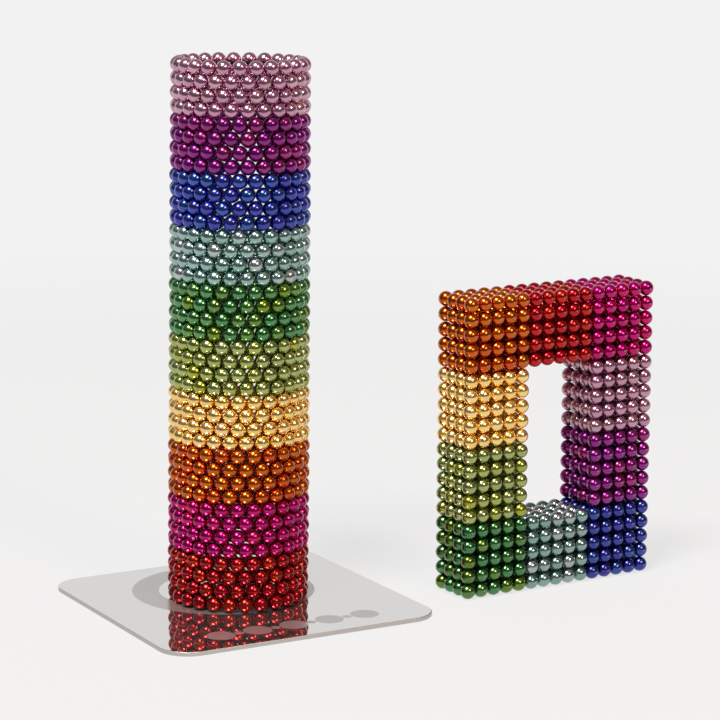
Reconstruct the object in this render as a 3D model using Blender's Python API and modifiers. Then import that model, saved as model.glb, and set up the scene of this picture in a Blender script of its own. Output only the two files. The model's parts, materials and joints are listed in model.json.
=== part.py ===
"""Magnetic desk sculpture: a hollow tower of stacked ball rings on a thin steel base plate,
and a free-standing cubic-packed ball frame beside it.

World frame: origin at the centre of the plate's underside, +Z up, X and Y along the plate's
edges. The tower's axis is vertical. Each ring and each frame block is one closed solid with
one stud per outward-facing ball; the studs reach the balls' outermost points.
"""
import math

import bpy
import bmesh
from mathutils import Matrix, Vector

# ---------------------------------------------------------------- driving dimensions (metres)
BALL_D = 0.0025                      # ball diameter
GAP = 0.00003                        # clearance between neighbouring solids

PLATE_SIDE = 0.0477                  # square steel plate
PLATE_T = 0.0007
PLATE_CORNER_R = 0.0050
PLATE_EASE = 0.00010                 # eased edge on both faces

RINGS = 40                           # tower: rings from the top (1) to the bottom (40)
BALLS_PER_RING = 25
RINGS_PER_BAND = 4
TOWER_PHASE = math.radians(-2.6)     # turn of the odd rings about the axis
TOWER_X, TOWER_Y = -0.0001, 0.0012   # the tower stands a little off the plate's centre
TOWER_SPREAD = 1.010                 # centre distance of neighbouring balls, in ball diameters

BLOCK = 5                            # balls per frame block, in width and in height
FRAME_DEEP = 4                       # balls per frame block, front to back
FRAME_X = 0.0332                     # centre of the frame's bottom, front, left-hand ball
FRAME_Y = -0.0161
FRAME_YAW = math.radians(1.9)        # the frame's turn against the plate

# ---------------------------------------------------------------- worked-out dimensions
BALL_R = BALL_D / 2
STEP = BALL_D * TOWER_SPREAD                                          # ball to ball in the tower
RING_R = STEP / (2 * math.sin(math.pi / BALLS_PER_RING))              # ball centres on a ring
ROW = math.sqrt(STEP ** 2 - (2 * RING_R * math.sin(math.pi / (2 * BALLS_PER_RING))) ** 2)
ROOT_R = RING_R + 0.40 * BALL_R                                       # roots of a ring's studs
BORE_R = (RING_R - BALL_R) / math.cos(math.pi / BALLS_PER_RING)
BLOCK_ROOT = 0.42 * BALL_R                                            # depth of a block's stud roots

# (colour, red, green, blue, metallic, roughness)
FINISHES = {
    "lilac": (0.52, 0.33, 0.43, 1.0, 0.20), "purple": (0.26, 0.02, 0.22, 1.0, 0.20),
    "blue": (0.035, 0.05, 0.36, 1.0, 0.20), "teal": (0.33, 0.48, 0.46, 1.0, 0.20),
    "dark_green": (0.10, 0.24, 0.09, 1.0, 0.20), "light_green": (0.42, 0.43, 0.16, 1.0, 0.20),
    "gold": (0.52, 0.36, 0.10, 1.0, 0.20), "orange": (0.56, 0.17, 0.02, 1.0, 0.20),
    "magenta": (0.40, 0.01, 0.17, 1.0, 0.20), "red": (0.42, 0.02, 0.02, 1.0, 0.20),
    "steel": (0.72, 0.72, 0.72, 1.0, 0.08),
}
BAND_COLOURS = ("lilac", "purple", "blue", "teal", "dark_green",
                "light_green", "gold", "orange", "magenta", "red")
# name, colour, column of blocks from the left, row of blocks from the bottom
FRAME_BLOCKS = (
    ("frame_block_01_top_left_orange", "orange", 0, 3),
    ("frame_block_02_top_middle_red", "red", 1, 3),
    ("frame_block_03_top_right_magenta", "magenta", 2, 3),
    ("frame_block_04_left_upper_gold", "gold", 0, 2),
    ("frame_block_05_left_lower_light_green", "light_green", 0, 1),
    ("frame_block_06_right_upper_lilac", "lilac", 2, 2),
    ("frame_block_07_right_lower_purple", "purple", 2, 1),
    ("frame_block_08_bottom_left_dark_green", "dark_green", 0, 0),
    ("frame_block_09_bottom_middle_teal", "teal", 1, 0),
    ("frame_block_10_bottom_right_blue", "blue", 2, 0),
)

# ---------------------------------------------------------------- scene helpers
for old in list(bpy.data.objects):
    bpy.data.objects.remove(old, do_unlink=True)

home = bpy.data.collections.new("magnetic_desk_sculpture")
bpy.context.scene.collection.children.link(home)


def new_material(name, finish):
    red, green, blue, metallic, roughness = FINISHES[finish]
    mat = bpy.data.materials.new(name)
    mat.use_nodes = True
    shader = mat.node_tree.nodes["Principled BSDF"]
    shader.inputs["Base Color"].default_value = (red, green, blue, 1.0)
    shader.inputs["Metallic"].default_value = metallic
    shader.inputs["Roughness"].default_value = roughness
    return mat


def new_object(name, mesh, finish, parent=None, location=(0, 0, 0), turn=0.0):
    mesh.name = name
    mesh.materials.clear()
    mesh.materials.append(new_material("finish_" + name, finish))
    obj = bpy.data.objects.new(name, mesh)
    obj.parent = parent
    obj.location = location
    obj.rotation_euler = (0.0, 0.0, turn)
    home.objects.link(obj)
    return obj


def new_empty(name, location, turn=0.0):
    empty = bpy.data.objects.new(name, None)
    empty.location = location
    empty.rotation_euler = (0.0, 0.0, turn)
    empty.empty_display_size = 0.01
    home.objects.link(empty)
    return empty


# ---------------------------------------------------------------- base plate
def plate_mesh():
    """A flat box with round corners and eased edges; its underside is at z = 0."""
    bm = bmesh.new()
    bmesh.ops.create_cube(bm, size=1.0)
    bmesh.ops.scale(bm, vec=(PLATE_SIDE, PLATE_SIDE, PLATE_T), verts=bm.verts)
    bmesh.ops.translate(bm, vec=(0.0, 0.0, PLATE_T / 2), verts=bm.verts)
    upright = [e for e in bm.edges if abs(e.verts[0].co.z - e.verts[1].co.z) > PLATE_T / 2]
    bmesh.ops.bevel(bm, geom=upright, offset=PLATE_CORNER_R, offset_type="OFFSET",
                    segments=6, profile=0.5, affect="EDGES")
    rims = [e for e in bm.edges
            if abs(e.verts[0].co.z - e.verts[1].co.z) < 1e-7
            and any(abs(f.normal.z) < 0.5 for f in e.link_faces)
            and any(abs(f.normal.z) > 0.5 for f in e.link_faces)]
    bmesh.ops.bevel(bm, geom=rims, offset=PLATE_EASE, offset_type="OFFSET",
                    segments=1, profile=0.5, affect="EDGES")
    mesh = bpy.data.meshes.new("plate")
    bm.to_mesh(mesh)
    bm.free()
    return mesh


# ---------------------------------------------------------------- tower rings
def ring_mesh(z_low, z_high):
    """A turned rectangular ring whose facets follow the balls, then one stud on each facet."""
    profile = bpy.data.meshes.new("ring_profile")
    corners = [(ROOT_R, 0.0, z_high), (ROOT_R, 0.0, z_low), (BORE_R, 0.0, z_low), (BORE_R, 0.0, z_high)]
    profile.from_pydata(corners, [(0, 1), (1, 2), (2, 3), (3, 0)], [])
    turned = bpy.data.objects.new("ring_profile", profile)
    bpy.context.scene.collection.objects.link(turned)
    screw = turned.modifiers.new("turn", "SCREW")
    screw.axis = "Z"
    screw.steps = BALLS_PER_RING
    screw.render_steps = BALLS_PER_RING
    screw.use_merge_vertices = True
    screw.merge_threshold = 0.00001
    screw.use_smooth_shade = False
    evaluated = turned.evaluated_get(bpy.context.evaluated_depsgraph_get())
    mesh = bpy.data.meshes.new_from_object(evaluated)
    bpy.data.objects.remove(turned, do_unlink=True)
    bm = bmesh.new()
    bm.from_mesh(mesh)
    outside = [f for f in bm.faces
               if all(Vector((v.co.x, v.co.y)).length > ROOT_R - 1e-6 for v in f.verts)]
    flat = (ROOT_R * math.cos(math.pi / BALLS_PER_RING))
    bmesh.ops.poke(bm, faces=outside, offset=RING_R + BALL_R - flat, center_mode="MEAN")
    bmesh.ops.recalc_face_normals(bm, faces=bm.faces)
    # a stud's tip is on the local +X axis, as on the ball at angle zero
    bmesh.ops.rotate(bm, verts=bm.verts, cent=(0, 0, 0),
                     matrix=Matrix.Rotation(-math.pi / BALLS_PER_RING, 3, "Z"))
    bm.to_mesh(mesh)
    bm.free()
    return mesh


# ---------------------------------------------------------------- frame blocks
def block_mesh(col, row):
    """A block of 5 x 5 balls, 4 deep, with its corner at the local origin. Outer faces carry one
    stud per ball. Faces that meet another block stay flat, half a clearance inside the shared
    plane, so the blocks slide past each other."""
    taken = {(c, r) for _, _, c, r in FRAME_BLOCKS}
    counts = (BLOCK, FRAME_DEEP, BLOCK)
    full = Vector([n * BALL_D for n in counts])
    joined = {(0, -1): (col - 1, row) in taken, (0, 1): (col + 1, row) in taken,
              (1, -1): False, (1, 1): False,
              (2, -1): (col, row - 1) in taken, (2, 1): (col, row + 1) in taken}
    low = Vector([GAP / 2 if joined[(a, -1)] else BLOCK_ROOT for a in range(3)])
    high = full - Vector([GAP / 2 if joined[(a, 1)] else BLOCK_ROOT for a in range(3)])

    bm = bmesh.new()
    bmesh.ops.create_cube(bm, size=1.0)
    bmesh.ops.scale(bm, vec=high - low, verts=bm.verts)
    bmesh.ops.translate(bm, vec=(low + high) / 2, verts=bm.verts)
    for axis in range(3):
        normal = Vector([1.0 if a == axis else 0.0 for a in range(3)])
        for k in range(1, counts[axis]):
            bmesh.ops.bisect_plane(bm, geom=bm.verts[:] + bm.edges[:] + bm.faces[:], dist=1e-7,
                                   plane_co=normal * (k * BALL_D), plane_no=normal)
    bm.normal_update()
    for (axis, side), is_joined in joined.items():
        faces = [f for f in bm.faces if f.normal[axis] * side > 0.999]
        if is_joined:
            merged = bmesh.ops.dissolve_faces(bm, faces=faces)["region"]
            bmesh.ops.poke(bm, faces=merged, offset=0.0, center_mode="BOUNDS")
            continue
        tips = bmesh.ops.poke(bm, faces=faces, offset=BLOCK_ROOT, center_mode="MEAN")["verts"]
        for tip in tips:
            for a in range(3):
                if a != axis:
                    tip.co[a] = (math.floor(tip.co[a] / BALL_D) + 0.5) * BALL_D
    bmesh.ops.recalc_face_normals(bm, faces=bm.faces)
    mesh = bpy.data.meshes.new("block")
    bm.to_mesh(mesh)
    bm.free()
    return mesh


# ---------------------------------------------------------------- assembly
new_object("base_plate", plate_mesh(), "steel")

tower_axis = new_empty("tower_axis", (TOWER_X, TOWER_Y, PLATE_T))
middle = ring_mesh(-ROW / 2 + GAP / 2, ROW / 2 - GAP / 2)
for ring in range(1, RINGS + 1):
    finish = BAND_COLOURS[(ring - 1) // RINGS_PER_BAND]
    if ring == 1:
        mesh = ring_mesh(-ROW / 2 + GAP / 2, BALL_R)
    elif ring == RINGS:
        mesh = ring_mesh(-BALL_R + GAP, ROW / 2 - GAP / 2)
    else:
        mesh = middle.copy()
    # even rings are turned half a ball pitch, so their balls nest in the rings above and below
    turn = TOWER_PHASE + (math.pi / BALLS_PER_RING if ring % 2 == 0 else 0.0)
    new_object("tower_ring_%02d_%s" % (ring, finish), mesh, finish, parent=tower_axis,
               location=(0.0, 0.0, BALL_R + (RINGS - ring) * ROW), turn=turn)
bpy.data.meshes.remove(middle)

frame_corner = Vector((FRAME_X, FRAME_Y, 0.0)) + Matrix.Rotation(FRAME_YAW, 3, "Z") @ Vector((-BALL_R, -BALL_R, 0.0))
frame_base = new_empty("frame_base", frame_corner, FRAME_YAW)
for name, finish, col, row in FRAME_BLOCKS:
    new_object(name, block_mesh(col, row), finish, parent=frame_base,
               location=(col * BLOCK * BALL_D, 0.0, row * BLOCK * BALL_D))
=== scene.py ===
"""Looks of the magnetic desk sculpture: every magnet as its own polished, plated ball, placed
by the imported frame, on a mirror-polished steel plate with an etched ornament.

Lengths are in metres, in the frame's own coordinates. Each tower ring and each frame block of
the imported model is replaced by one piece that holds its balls.
"""
import json
import math

import bpy
import bmesh
import numpy as np
from mathutils import Matrix, Vector


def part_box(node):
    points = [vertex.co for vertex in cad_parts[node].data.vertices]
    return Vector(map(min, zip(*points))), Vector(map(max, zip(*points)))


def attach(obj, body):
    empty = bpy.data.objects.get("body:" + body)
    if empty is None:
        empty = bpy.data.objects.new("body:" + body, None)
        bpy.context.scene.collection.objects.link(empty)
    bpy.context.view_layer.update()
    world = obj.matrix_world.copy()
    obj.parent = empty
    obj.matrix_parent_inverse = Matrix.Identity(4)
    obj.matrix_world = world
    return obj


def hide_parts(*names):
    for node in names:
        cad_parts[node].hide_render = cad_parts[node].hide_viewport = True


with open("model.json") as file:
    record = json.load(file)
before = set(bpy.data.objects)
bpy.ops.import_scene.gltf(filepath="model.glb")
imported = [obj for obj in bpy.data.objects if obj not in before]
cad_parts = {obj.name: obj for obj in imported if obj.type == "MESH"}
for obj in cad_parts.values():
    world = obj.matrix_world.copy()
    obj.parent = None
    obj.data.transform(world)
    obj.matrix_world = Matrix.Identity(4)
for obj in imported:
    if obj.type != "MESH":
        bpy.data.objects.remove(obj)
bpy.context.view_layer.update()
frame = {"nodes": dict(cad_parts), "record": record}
bodies = frame["record"]["behaviour"]["bodies"]

# ---------------------------------------------------------------- driving dimensions
BALL_D = 0.0025
BALL_R = BALL_D / 2
RINGS, BALLS_PER_RING, RINGS_PER_BAND = 40, 25, 4
TOWER_PHASE = math.radians(-2.6)
TOWER_SPREAD = 1.010
BLOCK, FRAME_DEEP = 5, 4
FRAME_YAW = math.radians(1.9)
PLATE_CORNER_R = 0.0050

STEP = BALL_D * TOWER_SPREAD
RING_R = STEP / (2 * math.sin(math.pi / BALLS_PER_RING))
ROW = math.sqrt(STEP ** 2 - (2 * RING_R * math.sin(math.pi / (2 * BALLS_PER_RING))) ** 2)
PITCH = 2 * math.pi / BALLS_PER_RING

plate_low, plate_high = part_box("base_plate")
ring_low, ring_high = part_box("tower_ring_40_red")
axis_x, axis_y = (ring_low.x + ring_high.x) / 2, (ring_low.y + ring_high.y) / 2

# the tower leans a little, and its rings are slightly oval along this direction
LEAN = (0.0125, 0.0070)
OVAL_DIR = math.radians(-29.5)
OVAL_AT = ((1, 0.985), (10, 0.995), (20, 1.003), (30, 1.018), (40, 1.017))

CAMERA_AT = Vector((-0.19498, -0.38239, 0.12181))
CAMERA_YAW, CAMERA_PITCH, CAMERA_ROLL = math.radians(-29.551), math.radians(10.779), math.radians(0.299)
LENS = 136.30

WHITE = 0.888

# colour of the plating: main tint, second tint, how far the balls spread between them,
# how far they differ in brightness, roughness
FINISHES = {
    "lilac":       ((0.555, 0.280, 0.41), (0.585, 0.34, 0.40), 0.90, 0.14, 0.23),
    "purple":      ((0.245, 0.018, 0.215), (0.34, 0.03, 0.17), 1.00, 0.18, 0.23),
    "blue":        ((0.048, 0.050, 0.34), (0.040, 0.095, 0.36), 1.00, 0.18, 0.23),
    "teal":        ((0.262, 0.425, 0.385), (0.45, 0.49, 0.48), 1.00, 0.16, 0.23),
    "dark_green":  ((0.076, 0.248, 0.092), (0.15, 0.24, 0.02), 1.00, 0.18, 0.23),
    "light_green": ((0.350, 0.405, 0.150), (0.36, 0.38, 0.035), 1.00, 0.16, 0.23),
    "gold":        ((0.93, 0.615, 0.185), (0.95, 0.64, 0.30), 0.90, 0.10, 0.23),
    "orange":      ((0.575, 0.120, 0.003), (0.58, 0.065, 0.003), 1.00, 0.16, 0.23),
    "magenta":     ((0.46, 0.003, 0.145), (0.52, 0.008, 0.105), 0.90, 0.16, 0.23),
    "red":         ((0.42, 0.004, 0.012), (0.50, 0.022, 0.006), 1.00, 0.18, 0.23),
}
# the tower's and the frame's balls of one colour are set a little brighter or darker, colour by colour
RING_SHADE = {"blue": 1.12, "teal": 1.06, "dark_green": 1.12, "light_green": 1.08, "orange": 0.93, "magenta": 0.92,
              "red": 0.87}
BLOCK_SHADE = {"blue": 0.86, "teal": 0.84, "dark_green": 0.86, "lilac": 0.92, "gold": 1.07, "red": 1.06, "magenta": 1.06}


# ---------------------------------------------------------------- node helpers
def new_tree(name):
    mat = bpy.data.materials.new(name)
    mat.use_nodes = True
    tree = mat.node_tree
    tree.nodes.clear()
    return mat, tree


def node(tree, kind, **values):
    n = tree.nodes.new(kind)
    for key, value in values.items():
        setattr(n, key, value)
    return n


def math_node(tree, operation, a, b=None, c=None, clamp=False):
    n = tree.nodes.new("ShaderNodeMath")
    n.operation = operation
    n.use_clamp = clamp
    for socket, value in zip(n.inputs, (a, b, c)):
        if value is None:
            continue
        if isinstance(value, (int, float)):
            socket.default_value = value
        else:
            tree.links.new(value, socket)
    return n.outputs[0]


def vector_math(tree, operation, a, b=None):
    n = tree.nodes.new("ShaderNodeVectorMath")
    n.operation = operation
    for socket, value in zip(n.inputs, (a, b)):
        if value is None:
            continue
        if isinstance(value, (tuple, list)):
            socket.default_value = value
        else:
            tree.links.new(value, socket)
    return n.outputs["Value"] if operation in ("DOT_PRODUCT", "LENGTH", "DISTANCE") else n.outputs["Vector"]


def smooth(tree, value, low, high, to_low=0.0, to_high=1.0):
    n = tree.nodes.new("ShaderNodeMapRange")
    n.interpolation_type = "SMOOTHSTEP"
    tree.links.new(value, n.inputs["Value"])
    n.inputs["From Min"].default_value = low
    n.inputs["From Max"].default_value = high
    n.inputs["To Min"].default_value = to_low
    n.inputs["To Max"].default_value = to_high
    return n.outputs["Result"]


def mix_colour(tree, factor, a, b, blend="MIX"):
    n = tree.nodes.new("ShaderNodeMix")
    n.data_type = "RGBA"
    n.blend_type = blend
    n.clamp_factor = True
    sockets = {s.identifier: s for s in n.inputs}
    for key, value in (("Factor_Float", factor), ("A_Color", a), ("B_Color", b)):
        if isinstance(value, (int, float)):
            sockets[key].default_value = value
        elif isinstance(value, (tuple, list)):
            sockets[key].default_value = (*value, 1.0)
        else:
            tree.links.new(value, sockets[key])
    return [s for s in n.outputs if s.identifier == "Result_Color"][0]


def noise(tree, vector, scale, detail=3.0, roughness=0.5):
    n = tree.nodes.new("ShaderNodeTexNoise")
    tree.links.new(vector, n.inputs["Vector"])
    n.inputs["Scale"].default_value = scale
    n.inputs["Detail"].default_value = detail
    n.inputs["Roughness"].default_value = roughness
    return n.outputs["Fac"]


# ---------------------------------------------------------------- plated ball finish
def plated_material(colour, contacts, shade=1.0):
    """Polished colour plating: each ball has its own tint and brightness, the plating is
    faintly cloudy, and it is rubbed thin to bare nickel where balls touch. `contacts` are
    the touching directions in a ball's own axes (absolute values of the second and third)."""
    main, second, spread, bright, rough = FINISHES[colour]
    mat, tree = new_tree("plated_%s_%s" % (colour, "ring" if len(contacts) == 2 else "block"))
    coord = node(tree, "ShaderNodeTexCoord").outputs["Object"]
    tone = node(tree, "ShaderNodeAttribute", attribute_name="ball_tone").outputs["Fac"]
    hue = node(tree, "ShaderNodeAttribute", attribute_name="ball_hue").outputs["Fac"]
    own = node(tree, "ShaderNodeAttribute", attribute_name="ball_dir").outputs["Vector"]

    cloud = noise(tree, coord, 900.0, 4.0, 0.55)
    tint = math_node(tree, "MULTIPLY_ADD", hue, spread, math_node(tree, "MULTIPLY_ADD", cloud, 0.30, -0.15), clamp=True)
    colour_out = mix_colour(tree, tint, main, second)
    # brightness of the ball, and slow clouds in the plating
    level = math_node(tree, "MULTIPLY_ADD", tone, bright * shade, shade * (1.0 - bright / 2))
    level = math_node(tree, "MULTIPLY", level, smooth(tree, cloud, 0.25, 0.75, 0.95, 1.04))
    combine = node(tree, "ShaderNodeCombineXYZ")
    for socket in combine.inputs:
        tree.links.new(level, socket)
    colour_out = mix_colour(tree, 1.0, colour_out, combine.outputs[0], "MULTIPLY")

    # rubbed spots at the contact points, broken up by fine noise
    split = node(tree, "ShaderNodeSeparateXYZ")
    tree.links.new(vector_math(tree, "NORMALIZE", own), split.inputs[0])
    folded = node(tree, "ShaderNodeCombineXYZ")
    tree.links.new(split.outputs[0] if len(contacts) == 2 else math_node(tree, "ABSOLUTE", split.outputs[0]), folded.inputs[0])
    tree.links.new(math_node(tree, "ABSOLUTE", split.outputs[1]), folded.inputs[1])
    tree.links.new(math_node(tree, "ABSOLUTE", split.outputs[2]), folded.inputs[2])
    nearest = None
    for direction in contacts:
        near = vector_math(tree, "DOT_PRODUCT", folded.outputs[0], tuple(direction))
        nearest = near if nearest is None else math_node(tree, "MAXIMUM", nearest, near)
    fine = noise(tree, coord, 5200.0, 3.0, 0.6)
    nearest = math_node(tree, "MULTIPLY_ADD", fine, 0.012, nearest)
    rubbed = smooth(tree, nearest, 0.997, 1.006, 0.0, 0.45)
    colour_out = mix_colour(tree, rubbed, colour_out, (0.52, 0.49, 0.46))

    # hairline scuffs, seen only in the gloss
    stretched = node(tree, "ShaderNodeMapping")
    tree.links.new(coord, stretched.inputs["Vector"])
    stretched.inputs["Scale"].default_value = (1.0, 1.0, 9.0)
    stretched.inputs["Rotation"].default_value = (0.7, 0.4, 0.3)
    scuff = noise(tree, stretched.outputs[0], 1500.0, 2.0, 0.6)
    gloss = math_node(tree, "ADD", smooth(tree, scuff, 0.58, 0.74, 0.0, 0.05), smooth(tree, cloud, 0.2, 0.8, rough - 0.02, rough + 0.03))
    gloss = math_node(tree, "MULTIPLY_ADD", rubbed, 0.22, gloss)

    bump = node(tree, "ShaderNodeBump")
    bump.inputs["Strength"].default_value = 0.10
    bump.inputs["Distance"].default_value = 0.000004
    tree.links.new(noise(tree, coord, 2600.0, 2.0, 0.5), bump.inputs["Height"])

    shader = node(tree, "ShaderNodeBsdfPrincipled")
    shader.inputs["Metallic"].default_value = 1.0
    shader.inputs["Coat Weight"].default_value = 0.38
    shader.inputs["Coat Roughness"].default_value = 0.07
    shader.inputs["Coat IOR"].default_value = 1.5
    tree.links.new(colour_out, shader.inputs["Base Color"])
    tree.links.new(gloss, shader.inputs["Roughness"])
    tree.links.new(bump.outputs[0], shader.inputs["Normal"])
    out = node(tree, "ShaderNodeOutputMaterial")
    tree.links.new(shader.outputs[0], out.inputs["Surface"])
    return mat


# ---------------------------------------------------------------- geodesic ball
def geodesic(frequency):
    """Unit ball: an icosahedron's faces divided evenly and pushed out to the sphere."""
    bm = bmesh.new()
    bmesh.ops.create_icosphere(bm, subdivisions=1, radius=1.0)
    bm.verts.ensure_lookup_table()
    corners = np.array([v.co for v in bm.verts], float)
    corners /= np.linalg.norm(corners, axis=1, keepdims=True)
    faces = [[v.index for v in f.verts] for f in bm.faces]
    bm.free()
    found, points, triangles = {}, [], []

    def index(p):
        p = p / np.linalg.norm(p)
        key = tuple(np.round(p, 6) + 0.0)
        if key not in found:
            found[key] = len(points)
            points.append(p)
        return found[key]

    for a, b, c in faces:
        grid = {}
        for i in range(frequency + 1):
            for j in range(frequency + 1 - i):
                k = frequency - i - j
                grid[i, j] = index((corners[a] * k + corners[b] * i + corners[c] * j) / frequency)
        for i in range(frequency):
            for j in range(frequency - i):
                triangles.append((grid[i, j], grid[i + 1, j], grid[i, j + 1]))
                if i + j < frequency - 1:
                    triangles.append((grid[i + 1, j], grid[i + 1, j + 1], grid[i, j + 1]))
    return np.array(points), np.array(triangles)


BALL_POINTS, BALL_FACES = geodesic(6)
rng = np.random.default_rng(2500)


def random_turns(count):
    """Random rotation matrices, one for each ball."""
    q = rng.normal(size=(count, 4))
    q /= np.linalg.norm(q, axis=1, keepdims=True)
    w, x, y, z = q.T
    return np.stack([
        np.stack([1 - 2 * (y * y + z * z), 2 * (x * y - z * w), 2 * (x * z + y * w)], -1),
        np.stack([2 * (x * y + z * w), 1 - 2 * (x * x + z * z), 2 * (y * z - x * w)], -1),
        np.stack([2 * (x * z - y * w), 2 * (y * z + x * w), 1 - 2 * (x * x + y * y)], -1)], 1)


def balls_piece(name, centres, axes, material, cad_node, body):
    """One mesh of separate balls. `axes` are each ball's own directions as rows, in which the
    touching directions are written."""
    count = len(centres)
    turned = np.einsum("bij,vj->bvi", random_turns(count), BALL_POINTS)
    points = (centres[:, None, :] + turned * BALL_R).reshape(-1, 3)
    own = np.einsum("bij,bvj->bvi", axes, turned).reshape(-1, 3)
    size = len(BALL_POINTS)
    faces = (BALL_FACES[None] + (np.arange(count) * size)[:, None, None]).reshape(-1, 3)

    mesh = bpy.data.meshes.new(name)
    mesh.vertices.add(len(points))
    mesh.vertices.foreach_set("co", points.astype(np.float32).ravel())
    mesh.loops.add(len(faces) * 3)
    mesh.loops.foreach_set("vertex_index", faces.astype(np.int32).ravel())
    mesh.polygons.add(len(faces))
    mesh.polygons.foreach_set("loop_start", (np.arange(len(faces)) * 3).astype(np.int32))
    mesh.update(calc_edges=True)
    mesh.validate()
    mesh.shade_smooth()
    tone, hue = rng.random(count), rng.random(count) ** 2.6
    for key, value in (("ball_tone", np.repeat(tone, size)), ("ball_hue", np.repeat(hue, size))):
        mesh.attributes.new(key, "FLOAT", "POINT").data.foreach_set("value", value.astype(np.float32))
    mesh.attributes.new("ball_dir", "FLOAT_VECTOR", "POINT").data.foreach_set("vector", own.astype(np.float32).ravel())
    mesh.materials.append(material)
    obj = bpy.data.objects.new(name, mesh)
    bpy.context.scene.collection.objects.link(obj)
    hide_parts(cad_node)
    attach(obj, body)
    return obj


# ---------------------------------------------------------------- which body a node is in
node_body = {n: body for body, members in bodies.items() for n in members}


# ---------------------------------------------------------------- tower
def oval_point(angle, wide):
    """A ball's place on a ring whose width along OVAL_DIR is `wide` of the round ring's and
    whose perimeter is the same, at equal distances along the ring."""
    deep = 2.0 - wide
    t = np.linspace(0, 2 * math.pi, 1441)
    x, y = wide * np.cos(t), deep * np.sin(t)
    run = np.concatenate([[0], np.cumsum(np.hypot(np.diff(x), np.diff(y)))])
    scale = 2 * math.pi / run[-1]
    at = ((angle - OVAL_DIR) % (2 * math.pi)) / (2 * math.pi) * run[-1]
    u = np.interp(at, run, t)
    p, q = wide * math.cos(u) * scale, deep * math.sin(u) * scale
    return (RING_R * (p * math.cos(OVAL_DIR) - q * math.sin(OVAL_DIR)),
            RING_R * (p * math.sin(OVAL_DIR) + q * math.cos(OVAL_DIR)))


half = PITCH / 2
RING_CONTACTS = ((-math.sin(half), math.cos(half), 0.0),
                 (-RING_R * (1 - math.cos(half)) / BALL_D, RING_R * math.sin(half) / BALL_D, ROW / BALL_D))
BLOCK_CONTACTS = ((1.0, 0.0, 0.0), (0.0, 1.0, 0.0), (0.0, 0.0, 1.0))

ring_nodes = sorted(n for n in frame["nodes"] if n.startswith("tower_ring_"))
for ring, name in enumerate(ring_nodes, 1):
    colour = name.split("_", 3)[3]
    if (ring - 1) % RINGS_PER_BAND == 0:
        material = plated_material(colour, RING_CONTACTS, RING_SHADE.get(colour, 1.0))
    low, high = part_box(name)
    z = plate_high.z + BALL_R + (RINGS - ring) * ROW
    if not low.z - 1e-4 < z < high.z + 1e-4:
        raise SystemExit("ring %s isn't where its CAD node is" % name)
    wide = float(np.interp(ring, [r for r, _ in OVAL_AT], [w for _, w in OVAL_AT]))
    up = z - plate_high.z
    centres, axes = [], []
    for i in range(BALLS_PER_RING):
        angle = TOWER_PHASE + (PITCH / 2 if ring % 2 == 0 else 0.0) + i * PITCH
        x, y = oval_point(angle, wide)
        tip = (LEAN[0] * x + LEAN[1] * y) * min(1.0, up / 0.010)
        centres.append((axis_x + x + LEAN[0] * up, axis_y + y + LEAN[1] * up, z - tip))
        axes.append(((math.cos(angle), math.sin(angle), 0), (-math.sin(angle), math.cos(angle), 0), (0, 0, 1)))
    centres = np.array(centres)
    centres[:, :2] += rng.normal(0, 0.000014, (BALLS_PER_RING, 2))
    centres[:, 2] += rng.normal(0, 0.000008, BALLS_PER_RING) if ring < RINGS else 0.0
    balls_piece("balls_ring_%02d_%s" % (ring, colour), centres, np.array(axes, float), material,
                name, node_body[name])

# ---------------------------------------------------------------- free-standing frame
turn = np.array(((math.cos(FRAME_YAW), -math.sin(FRAME_YAW), 0),
                 (math.sin(FRAME_YAW), math.cos(FRAME_YAW), 0), (0, 0, 1)))
block_nodes = sorted(n for n in frame["nodes"] if n.startswith("frame_block_"))
PLACES = {"top_left": (0, 3), "top_middle": (1, 3), "top_right": (2, 3), "left_upper": (0, 2),
          "left_lower": (0, 1), "right_upper": (2, 2), "right_lower": (2, 1),
          "bottom_left": (0, 0), "bottom_middle": (1, 0), "bottom_right": (2, 0)}


def oriented_low(name):
    """Lowest corner of a CAD node along the frame's own axes."""
    mesh = frame["nodes"][name].data
    co = np.zeros(len(mesh.vertices) * 3, np.float32)
    mesh.vertices.foreach_get("co", co)
    return (co.reshape(-1, 3).astype(float) @ turn).min(axis=0)


# the frame's bottom, front, left-hand corner, in its own axes, from the CAD block that stands there
corner = oriented_low([n for n in block_nodes if "bottom_left" in n][0])
block_shapes = {}
for name in block_nodes:
    words = name.split("_")
    place = "_".join(words[3:5])
    colour = "_".join(words[5:])
    col, row = PLACES[place]
    own = oriented_low(name)
    expected = corner + np.array((col * BLOCK, 0, row * BLOCK)) * BALL_D
    if np.abs(own - expected).max() > 3e-4:
        raise SystemExit("block %s isn't where its CAD node is" % name)
    material = plated_material(colour, BLOCK_CONTACTS, BLOCK_SHADE.get(colour, 1.0))
    c, d, r = np.meshgrid(np.arange(BLOCK), np.arange(FRAME_DEEP), np.arange(BLOCK), indexing="ij")
    local = np.stack([c.ravel(), d.ravel(), r.ravel()], 1) * BALL_D + BALL_R + expected
    loose = rng.normal(0, 0.000012, local.shape)
    if row == 0:
        loose[r.ravel() == 0, 2] = 0.0
    centres = (local + loose) @ turn.T
    axes = np.repeat(turn.T[None], len(centres), 0)
    balls_piece("balls_block_%s_%s" % (place, colour), centres, axes, material,
                name, node_body[name])


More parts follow.
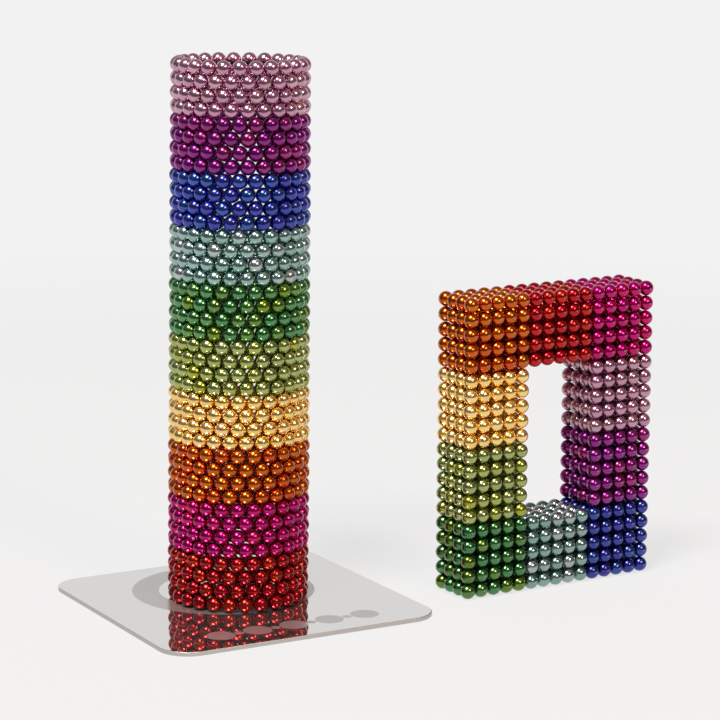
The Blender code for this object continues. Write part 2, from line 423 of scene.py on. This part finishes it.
# ---------------------------------------------------------------- base plate
def plate_piece():
    """Rounded square sheet with a fine rolled edge; flat-shaded so its faces stay a true mirror."""
    side = plate_high.x - plate_low.x
    thick = plate_high.z - plate_low.z
    ease = 0.00012
    outline = []
    inner = side / 2 - PLATE_CORNER_R
    for sx, sy, start in ((1, 1, 0.0), (-1, 1, 0.5), (-1, -1, 1.0), (1, -1, 1.5)):
        for k in range(25):
            a = (start + 0.5 * k / 24) * math.pi
            outline.append((sx * inner, sy * inner, math.cos(a), math.sin(a)))
    cx, cy = (plate_low.x + plate_high.x) / 2, (plate_low.y + plate_high.y) / 2
    levels = []
    steps = 4
    for k in range(steps + 1):
        a = 0.5 * math.pi * k / steps
        levels.append((ease * (1 - math.sin(a)), plate_low.z + ease * (1 - math.cos(a))))
    for k in range(steps + 1):
        a = 0.5 * math.pi * k / steps
        levels.append((ease * (1 - math.cos(a)), plate_high.z - ease * (1 - math.sin(a))))
    bm = bmesh.new()
    loops = []
    for inset, z in levels:
        r = PLATE_CORNER_R - inset
        loops.append([bm.verts.new((cx + x + r * ca, cy + y + r * sa, z)) for x, y, ca, sa in outline])
    count = len(outline)
    for lower, upper in zip(loops, loops[1:]):
        for k in range(count):
            bm.faces.new((lower[k], lower[(k + 1) % count], upper[(k + 1) % count], upper[k])).smooth = True
    bm.faces.new(loops[-1]).smooth = False
    bm.faces.new(list(reversed(loops[0]))).smooth = False
    bmesh.ops.recalc_face_normals(bm, faces=bm.faces)
    for f in bm.faces:
        if len(f.verts) > 4:
            for e in f.edges:
                e.smooth = False
    mesh = bpy.data.meshes.new("polished_plate")
    bm.to_mesh(mesh)
    bm.free()
    obj = bpy.data.objects.new("polished_plate", mesh)
    bpy.context.scene.collection.objects.link(obj)
    return obj


def plate_material():
    """Mirror-polished steel with a faintly wavy sheet, brushed-out scuffs and a satin-etched
    ornament: a broad ring around the tower's foot and a row of discs and dots in front."""
    mat, tree = new_tree("mirror_steel_etched")
    coord = node(tree, "ShaderNodeTexCoord").outputs["Object"]
    split = node(tree, "ShaderNodeSeparateXYZ")
    tree.links.new(coord, split.inputs[0])
    x, y = split.outputs[0], split.outputs[1]

    def disc(cx, cy, radius, soft=0.00006):
        away = node(tree, "ShaderNodeCombineXYZ")
        tree.links.new(x, away.inputs[0])
        tree.links.new(y, away.inputs[1])
        distance = vector_math(tree, "DISTANCE", away.outputs[0], (cx, cy, 0.0))
        return smooth(tree, distance, radius - soft, radius + soft, 1.0, 0.0)

    def ring(cx, cy, radius, half_width):
        outer = disc(cx, cy, radius + half_width)
        inner = disc(cx, cy, radius - half_width)
        return math_node(tree, "SUBTRACT", outer, inner, clamp=True)

    marks = [ring(-0.0004, 0.0060, 0.0128, 0.0022)]
    for k in range(5):
        px = -0.0128 + k * 0.0064
        marks.append(disc(px, -0.0178, 0.0023))
    for k in range(4):
        px = -0.0096 + k * 0.0064
        marks.append(disc(px, -0.0178, 0.0008))
    etched = marks[0]
    for m in marks[1:]:
        etched = math_node(tree, "MAXIMUM", etched, m)

    grain = noise(tree, coord, 14000.0, 2.0, 0.6)
    wave = noise(tree, coord, 60.0, 2.0, 0.5)
    stretched = node(tree, "ShaderNodeMapping")
    tree.links.new(coord, stretched.inputs["Vector"])
    stretched.inputs["Scale"].default_value = (1.0, 14.0, 1.0)
    stretched.inputs["Rotation"].default_value = (0, 0, 0.5)
    scuff = smooth(tree, noise(tree, stretched.outputs[0], 420.0, 3.0, 0.65), 0.62, 0.80)

    colour = mix_colour(tree, etched, (0.715, 0.705, 0.685), (0.49, 0.475, 0.455))
    colour = mix_colour(tree, math_node(tree, "MULTIPLY", scuff, 0.06), colour, (0.60, 0.60, 0.60))
    gloss = math_node(tree, "MULTIPLY_ADD", scuff, 0.03, 0.025)
    gloss = math_node(tree, "MULTIPLY_ADD", etched, math_node(tree, "MULTIPLY_ADD", grain, 0.08, 0.26), gloss)

    # the sheared edge is darker and duller than the polished faces
    normal = node(tree, "ShaderNodeNewGeometry").outputs["Normal"]
    face = node(tree, "ShaderNodeSeparateXYZ")
    tree.links.new(normal, face.inputs[0])
    edge = smooth(tree, math_node(tree, "ABSOLUTE", face.outputs[2]), 0.55, 0.95, 1.0, 0.0)
    lines = noise(tree, coord, 5000.0, 2.0, 0.5)
    colour = mix_colour(tree, edge, colour, mix_colour(tree, lines, (0.48, 0.455, 0.44), (0.66, 0.63, 0.61)))
    gloss = math_node(tree, "MULTIPLY_ADD", edge, 0.55, gloss)

    height = math_node(tree, "MULTIPLY_ADD", wave, 0.5, math_node(tree, "MULTIPLY", math_node(tree, "MULTIPLY", grain, etched), 0.02))
    bump = node(tree, "ShaderNodeBump")
    bump.inputs["Strength"].default_value = 0.25
    bump.inputs["Distance"].default_value = 0.00002
    tree.links.new(height, bump.inputs["Height"])

    shader = node(tree, "ShaderNodeBsdfPrincipled")
    # a thin haze on the polish, and a satin white scatter where it is etched
    tree.links.new(math_node(tree, "MULTIPLY_ADD", etched, -0.17, 0.97), shader.inputs["Metallic"])
    tree.links.new(colour, shader.inputs["Base Color"])
    tree.links.new(gloss, shader.inputs["Roughness"])
    tree.links.new(bump.outputs[0], shader.inputs["Normal"])
    out = node(tree, "ShaderNodeOutputMaterial")
    tree.links.new(shader.outputs[0], out.inputs["Surface"])
    return mat


plate = plate_piece()
plate.data.materials.append(plate_material())
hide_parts("base_plate")
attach(plate, "base")

# ---------------------------------------------------------------- floor, lights and camera
TOWARDS_CAMERA = Vector((CAMERA_AT.x - axis_x, CAMERA_AT.y - axis_y, 0)).normalized()


def flat_sheet(name, corners, z):
    bm = bmesh.new()
    bm.faces.new([bm.verts.new((cx, cy, z)) for cx, cy in corners])
    mesh = bpy.data.meshes.new(name)
    bm.to_mesh(mesh)
    bm.free()
    obj = bpy.data.objects.new(name, mesh)
    bpy.context.scene.collection.objects.link(obj)
    return obj


FLOOR_GLOW = 0.713
FLOOR_ALBEDO = 0.12


def floor_material():
    """Pale sheet that glows almost as a light table does, so shadows on it stay faint; the
    part that takes shadows fades out away from the object."""
    mat, tree = new_tree("pale_floor")
    coord = node(tree, "ShaderNodeTexCoord").outputs["Object"]
    distance = vector_math(tree, "LENGTH", coord)
    near = smooth(tree, distance, 0.20, 0.42, 1.0, 0.0)
    grain = noise(tree, coord, 300.0, 3.0, 0.5)
    diffuse = node(tree, "ShaderNodeBsdfDiffuse")
    tree.links.new(mix_colour(tree, grain, (FLOOR_ALBEDO * 0.99,) * 3, (FLOOR_ALBEDO * 1.01,) * 3), diffuse.inputs["Color"])
    glow = node(tree, "ShaderNodeEmission")
    glow.inputs["Strength"].default_value = FLOOR_GLOW
    both = node(tree, "ShaderNodeAddShader")
    tree.links.new(diffuse.outputs[0], both.inputs[0])
    tree.links.new(glow.outputs[0], both.inputs[1])
    far = node(tree, "ShaderNodeEmission")
    far.inputs["Strength"].default_value = WHITE
    mixed = node(tree, "ShaderNodeMixShader")
    tree.links.new(near, mixed.inputs[0])
    tree.links.new(far.outputs[0], mixed.inputs[1])
    tree.links.new(both.outputs[0], mixed.inputs[2])
    out = node(tree, "ShaderNodeOutputMaterial")
    tree.links.new(mixed.outputs[0], out.inputs["Surface"])
    return mat


R = 4.0
floor = flat_sheet("floor", [(-R, -R), (R, -R), (R, R), (-R, R)], -0.00003)
floor.data.materials.append(floor_material())

# painted reflection: a dim glowing sheet on the floor beyond the table's front edge stands in for the dark room, seen
# only in reflections
side = Vector((-TOWARDS_CAMERA.y, TOWARDS_CAMERA.x, 0))
start = Vector((axis_x, axis_y, 0)) + TOWARDS_CAMERA * 0.20
room = []
for a, b in ((-1, 0), (1, 0), (1, 1), (-1, 1)):
    p = start + side * (3.0 * a) + TOWARDS_CAMERA * (3.0 * b)
    room.append((p.x, p.y))
flag = flat_sheet("dark_flag", room, 0.0005)
mat, tree = new_tree("painted_dark_room_reflection")
dark = node(tree, "ShaderNodeEmission")
dark.inputs["Color"].default_value = (0.115, 0.108, 0.108, 1)
out = node(tree, "ShaderNodeOutputMaterial")
tree.links.new(dark.outputs[0], out.inputs["Surface"])
flag.data.materials.append(mat)
flag.visible_camera = False
flag.visible_diffuse = False
flag.visible_shadow = False
flag.visible_transmission = False

world = bpy.data.worlds.new("studio")
bpy.context.scene.world = world
world.use_nodes = True
tree = world.node_tree
tree.nodes.clear()
direction = node(tree, "ShaderNodeTexCoord").outputs["Generated"]
back = vector_math(tree, "DOT_PRODUCT", direction, (-TOWARDS_CAMERA.x, -TOWARDS_CAMERA.y, 0.0))
split = node(tree, "ShaderNodeSeparateXYZ")
tree.links.new(direction, split.inputs[0])
behind = smooth(tree, back, 0.30, 0.75)
low_down = smooth(tree, split.outputs[2], 0.30, 0.70, 1.0, 0.12)
# dark at eye level on the camera's side, paler and warmer towards the ceiling and the right
sideways = vector_math(tree, "DOT_PRODUCT", direction, (-TOWARDS_CAMERA.y, TOWARDS_CAMERA.x, 0.0))
walls = mix_colour(tree, smooth(tree, sideways, -0.7, 0.7), (0.112, 0.108, 0.118), (0.128, 0.106, 0.096))
ceiling = mix_colour(tree, smooth(tree, sideways, -0.7, 0.7), (0.27, 0.262, 0.285), (0.31, 0.255, 0.225))
room_side = mix_colour(tree, smooth(tree, split.outputs[2], 0.08, 0.75), walls, ceiling)
room_light = mix_colour(tree, math_node(tree, "MULTIPLY", behind, low_down), room_side, (0.86, 0.86, 0.86))
is_camera = node(tree, "ShaderNodeLightPath").outputs["Is Camera Ray"]
final = mix_colour(tree, is_camera, room_light, (WHITE, WHITE, WHITE))
background = node(tree, "ShaderNodeBackground")
tree.links.new(final, background.inputs["Color"])
out = node(tree, "ShaderNodeOutputWorld")
tree.links.new(background.outputs[0], out.inputs["Surface"])


def softbox(name, azimuth, elevation, distance, width, height, power, colour=(1, 1, 1)):
    """An area light that faces the sculpture from this direction (azimuth 0 looks along +Y)."""
    a, e = math.radians(azimuth), math.radians(elevation)
    aim = Vector((0.015, 0.0, 0.04))
    place = aim + Vector((math.sin(a) * math.cos(e), -math.cos(a) * math.cos(e), math.sin(e))) * distance
    data = bpy.data.lights.new(name, "AREA")
    data.shape = "RECTANGLE"
    data.size, data.size_y = width, height
    data.energy = power
    data.color = colour
    obj = bpy.data.objects.new(name, data)
    obj.location = place
    obj.rotation_euler = (aim - place).to_track_quat("-Z", "Y").to_euler()
    obj.visible_camera = False
    bpy.context.scene.collection.objects.link(obj)
    return obj


softbox("main_softbox", -57.0, 60.0, 1.6, 0.50, 0.50, 29.0, (1.0, 0.985, 0.98))
softbox("second_softbox", 6.0, 34.0, 1.6, 0.34, 0.34, 10.0, (1.0, 0.78, 0.66))

camera_data = bpy.data.cameras.new("camera")
camera_data.lens = LENS
camera_data.sensor_width = 36.0
camera_data.clip_start = 0.01
camera_data.clip_end = 20.0
camera = bpy.data.objects.new("camera", camera_data)
sy, cy = math.sin(CAMERA_YAW), math.cos(CAMERA_YAW)
sp, cp = math.sin(CAMERA_PITCH), math.cos(CAMERA_PITCH)
forward = Vector((-sy * cp, cy * cp, -sp))
right = Vector((cy, sy, 0.0))
upward = right.cross(forward)
right2 = right * math.cos(CAMERA_ROLL) + upward * math.sin(CAMERA_ROLL)
upward2 = upward * math.cos(CAMERA_ROLL) - right * math.sin(CAMERA_ROLL)
matrix = Matrix((right2, upward2, -forward)).transposed().to_4x4()
matrix.translation = CAMERA_AT
camera.matrix_world = matrix
bpy.context.scene.collection.objects.link(camera)
bpy.context.scene.camera = camera
bpy.context.scene.view_settings.view_transform = "Standard"
